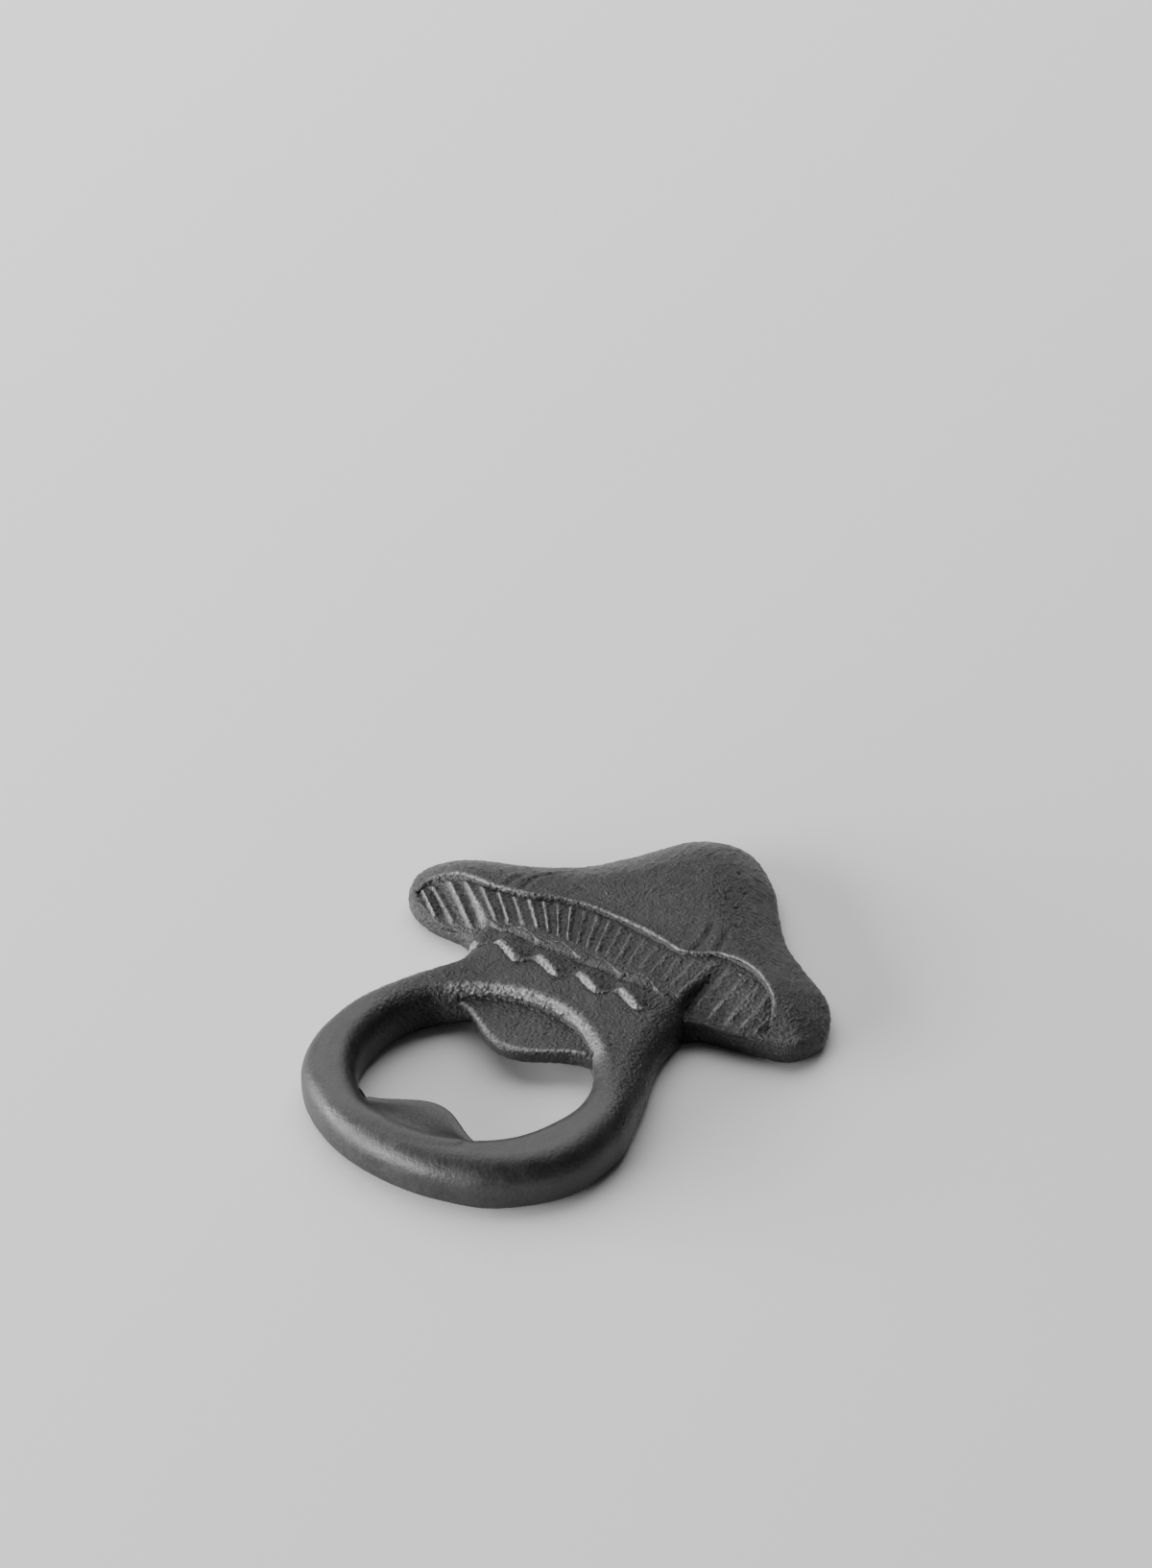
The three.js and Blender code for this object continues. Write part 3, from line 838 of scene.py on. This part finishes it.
# The bar is lofted round the hole: each section runs from the foot of the hole's wall up, over
# the top to the outer wall, and back along the flat bottom.
def makeRing():
    neck = np.linspace(0, 1, ringSet["neckStations"] + 2)[1:-1, None]
    tucked = np.array([0, ringSet["tuck"]]) * np.sin(np.pi * neck) ** 0.3
    right, left = rightTuck[:ringSet["tuckPoints"]], leftTuck[:ringSet["tuckPoints"]]
    neckLine = mix(right[-1], left[-1], neck) + tucked
    outline = np.vstack([ringLine, right, neckLine, left[::-1]])
    onNeck = np.arange(len(outline)) >= len(ringLine)
    towards = outline - holeCentre
    width = np.linalg.norm(towards, axis=1)[:, None]
    towards /= width
    width -= holeRadius
    turn = np.linspace(0, np.pi / 2, 8)[None, :]
    spread = (1 - np.cos(np.pi * np.linspace(0, 1, ringSet["topColumns"])[None, :])) / 2
    offset = width * spread
    wall = (holeCentre + towards * holeRadius)[:, None, :]
    plan = wall + towards[:, None, :] * offset[:, :, None]
    flat = plan.reshape(-1, 2)
    top = barSurface(flat).reshape(offset.shape)
    lifted = top - ringSurface(flat).reshape(offset.shape)
    top += dive(ringSet["lipSeam"] - offset, ringSet["lipDive"]) * smoothStep(lifted / 0.4)
    top += dive(plan[:, :, 1] - neckY - ringSet["neckDiveFrom"], ringSet["neckDive"])
    under = plan[:, :, 1] > neckY + 0.3
    top[under] = np.minimum(top[under], castSurface(plan[under]) - ringSet["underCap"])
    foot = ringSet["foot"]
    place = np.arange(len(outline))
    fromNotch = np.minimum(place, len(ringLine) - 1 - place) / ringSet["notchStations"]
    grownFoot = mix(ringSet["neckFoot"], foot, smoothStep(fromNotch))
    outerFoot = np.where(onNeck, ringSet["neckFoot"], grownFoot)[:, None]
    climb = np.linspace(0, 1, 8)[None, 1:-1]
    offsets = [
        foot * (1 - np.sin(turn)) + 0 * width, 0 * width * climb, offset, width + 0 * climb,
        width - outerFoot * (1 - np.cos(turn)), mix(width - outerFoot, foot, climb)]
    heights = [
        foot * (1 - np.cos(turn)) + 0 * width, mix(foot, top[:, :1], climb), top,
        mix(top[:, -1:], outerFoot, climb), outerFoot * (1 - np.sin(turn)), 0 * width * climb]
    offset, height = np.hstack(offsets), np.hstack(heights)
    plan = wall + towards[:, None, :] * offset[:, :, None]
    # The neck's edge over the upper lip is worn bare and carries a painted highlight.
    wornAndHighlight = smoothStep((plan[:, :, 1] - ringSet["rubbedAndHighlightFrom"]) / ringSet["rubbedAndHighlightRun"])
    wornAndHighlight = ringSet["rubbedAndHighlight"] * wornAndHighlight * smoothStep(1.4 - offset / ringSet["rubbedAndHighlightWidth"])
    grid = np.dstack([plan, height])[:, ::-1]
    newLoft("opener_ring_casting", grid, True, wornAndHighlight[:, ::-1], castIron, "opener_ring")


makeRing()


skirtSet = {
    "from": -14.7,  # where the first whole scallop starts
    "pitch": 7.85,
    "first": -0.56,  # a part scallop wraps round the left flank
    "scallops": 4,
    "stations": 520,
    "columns": 130,
    # down one scallop from its left cusp: share of the pitch, its edge, its arch, its lift
    "shape": [
        (0.0, 0.3, 4.1, 0.1), (0.12, 0.7, 4.9, 0.9), (0.3, 0.0, 5.3, 1.2), (0.55, -0.9, 4.7, 1.25),
        (0.74, -1.5, 4.1, 0.95), (0.88, -1.0, 3.8, 0.2), (1.0, 0.3, 4.1, 0.1)],
    "margin": 1.3,  # behind the arches
    "edgeRun": 0.75,
    "lift": 0.95,  # of the edge over the neck
    "petal": 0.15,  # of the foot of an arch over the neck
    "crest": 0.2,  # of the arches over the cap
    "archRun": 0.7,
    "backFrom": 0.4,  # behind an arch the frill dives under the gills
    "backDive": 1.4,
    "edgeFall": 1.8,
    "edgeFrom": 0.2,
    "endFall": 2.0,
    "endRun": 0.12,
    "rounding": 10,  # stations on each side that soften a corner
    "edgeWornAndHighlight": 0.7,  # width of the rubbed edge, which carries a painted highlight
    "archWornAndHighlight": 0.5,
}


# The frill is ruled between its arches and its scalloped edge. Each scallop slants: it starts
# high at the left and hangs lowest near its right end. Across the frill the surface rises over
# the arch, steps down into a hollow, swells to the edge and slopes down to the neck.
def makeSkirt():
    station = np.linspace(skirtSet["first"], skirtSet["scallops"], skirtSet["stations"])
    x = skirtSet["from"] + skirtSet["pitch"] * station
    rounding = skirtSet["rounding"]
    kernel = np.hanning(2 * rounding + 1)
    kernel /= kernel.sum()
    share, *shapes = np.array(skirtSet["shape"]).T
    smoothed = []
    for values in shapes:
        drawn = np.pad(np.interp(station % 1, share, values), rounding, mode="edge")
        smoothed.append(np.convolve(drawn, kernel, mode="valid")[:, None])
    edge, arch, lift = smoothed
    t = np.linspace(0, 1, skirtSet["columns"])[None, :]
    y = mix(arch + skirtSet["margin"], edge - skirtSet["edgeRun"], t)
    plan = np.dstack([np.broadcast_to(x[:, None], y.shape), y])
    flat = plan.reshape(-1, 2)
    below = ringSurface(flat).reshape(y.shape)
    behind = castSurface(flat).reshape(y.shape) - gillSet["middleStep"] + skirtSet["crest"]
    toEdge = y - edge
    swell = smoothStep(1 - toEdge / (arch - edge))
    petal = mix(skirtSet["petal"], skirtSet["lift"] * lift, swell)
    onArch = smoothStep((y - arch) / skirtSet["archRun"] + 0.5)
    height = mix(below + petal, np.maximum(behind, below + 0.3), onArch)
    height += dive(y - arch - skirtSet["backFrom"], skirtSet["backDive"])
    pastEdge = (skirtSet["edgeFrom"] - toEdge) / (skirtSet["edgeRun"] + skirtSet["edgeFrom"])
    height -= skirtSet["edgeFall"] * smoothStep(pastEdge)
    toEnd = (station - skirtSet["first"]) / skirtSet["endRun"]
    height -= skirtSet["endFall"] * smoothStep(1 - toEnd)[:, None]
    # The scalloped edges and the arches are worn bare and carry a painted highlight.
    edgeWornAndHighlight = lift * smoothStep(1.2 - np.abs(toEdge - 0.1) / skirtSet["edgeWornAndHighlight"])
    archWornAndHighlight = np.clip(lift, 0, 1) * smoothStep(1 - np.abs(y - arch - 0.1) / skirtSet["archWornAndHighlight"])
    wornAndHighlight = np.maximum(np.clip(edgeWornAndHighlight, 0, 1), 0.7 * archWornAndHighlight)
    grid = np.dstack([plan, height])[::-1]
    newSlab("neck_skirt_casting", grid, wornAndHighlight[::-1], castIron, "neck_skirt")


makeSkirt()


# A lip's section runs from inside the bar over the top, round the free edge and back underneath.
def makeLip(name, node, shape):
    side, half = shape["side"], shape["width"] / 2
    x = np.linspace(-half - lipSet["beyond"], half + lipSet["beyond"], lipSet["stations"])
    free, root = [edge[:, None] for edge in lipReach(x, shape)]
    reach = root - free
    r = lipSet["round"]
    turn = np.linspace(0, np.pi / 2, 9)[None, 1:]
    across = np.linspace(0, 1, lipSet["columns"])[None, :]
    flat = across * (reach - r)

    def plan(offset):
        y = side * (root - offset)
        return np.dstack([np.broadcast_to(x[:, None], y.shape), y]) + holeCentre

    points = plan(flat).reshape(-1, 2)
    inner = np.linalg.norm(points - holeCentre, axis=1) - holeRadius
    upper = barSurface(points) + dive(inner - shape["seam"], lipSet["seamDive"])
    upper = upper.reshape(flat.shape)
    edge = upper[:, -1:]
    under = np.minimum(mix(*shape["under"], (x / half + 1) / 2)[:, None], edge - 2 * r - 0.1)
    offset = np.hstack([flat, reach - r + r * np.sin(turn), reach - r + r * np.cos(turn), reach * 0])
    height = np.hstack([upper, edge - r + r * np.cos(turn), under + r - r * np.sin(turn), under])
    grid = np.dstack([plan(offset), height])
    # The free edge is worn bare and carries a painted highlight.
    fromEdge = np.abs(np.arange(grid.shape[1]) - lipSet["columns"]) / lipSet["rubbedAndHighlightColumns"]
    wornAndHighlight = shape["rubbedAndHighlight"] * smoothStep(1 - fromEdge)
    newLoft(name, grid[::-1] if side > 0 else grid, False, wornAndHighlight, castIron, node)


makeLip("upper_lip_casting", "upper_lip", lipSet["upper"])
makeLip("lower_lip_casting", "lower_lip", lipSet["lower"])


stageSet = {
    "floor": (0.86, 0.86, 0.86, 1),
    "world": (1.0, 1.0, 1.0, 1),
    "worldStrength": 0.05,
    "window": {"from": (-0.72, -0.78, 0.2), "distance": 1150.0, "size": (1700.0, 420.0), "watts": 46.0},
    "ceiling": {"from": (-0.5, 0.45, 0.8), "distance": 1000.0, "size": (1500.0, 1300.0), "watts": 16.0},
}


def makeFloor():
    material = bpy.data.materials.new("floor")
    material.use_nodes = True
    shader = material.node_tree.nodes["Principled BSDF"]
    shader.inputs["Base Color"].default_value = stageSet["floor"]
    shader.inputs["Roughness"].default_value = 0.9
    mesh = bpy.data.meshes.new("floor")
    corners = [(-3, -3, -0.0002), (3, -3, -0.0002), (3, 3, -0.0002), (-3, 3, -0.0002)]
    mesh.from_pydata(corners, [], [(0, 1, 2, 3)])
    mesh.materials.append(material)
    floor = bpy.data.objects.new("floor", mesh)
    bpy.context.scene.collection.objects.link(floor)


def makeLight(name, light):
    data = bpy.data.lights.new(name, "AREA")
    data.shape = "RECTANGLE"
    data.size, data.size_y = light["size"][0] * mm, light["size"][1] * mm
    data.energy = light["watts"]
    lamp = bpy.data.objects.new(name, data)
    bpy.context.scene.collection.objects.link(lamp)
    way = np.array(light["from"]) / np.linalg.norm(light["from"])
    placeAimed(lamp, way * light["distance"], -way)


def makeWorld():
    world = bpy.data.worlds.new("room")
    world.use_nodes = True
    back = world.node_tree.nodes["Background"]
    back.inputs["Color"].default_value = stageSet["world"]
    back.inputs["Strength"].default_value = stageSet["worldStrength"]
    bpy.context.scene.world = world


makeFloor()
makeLight("window", stageSet["window"])
makeLight("ceiling", stageSet["ceiling"])
makeWorld()

print("stage: finished")
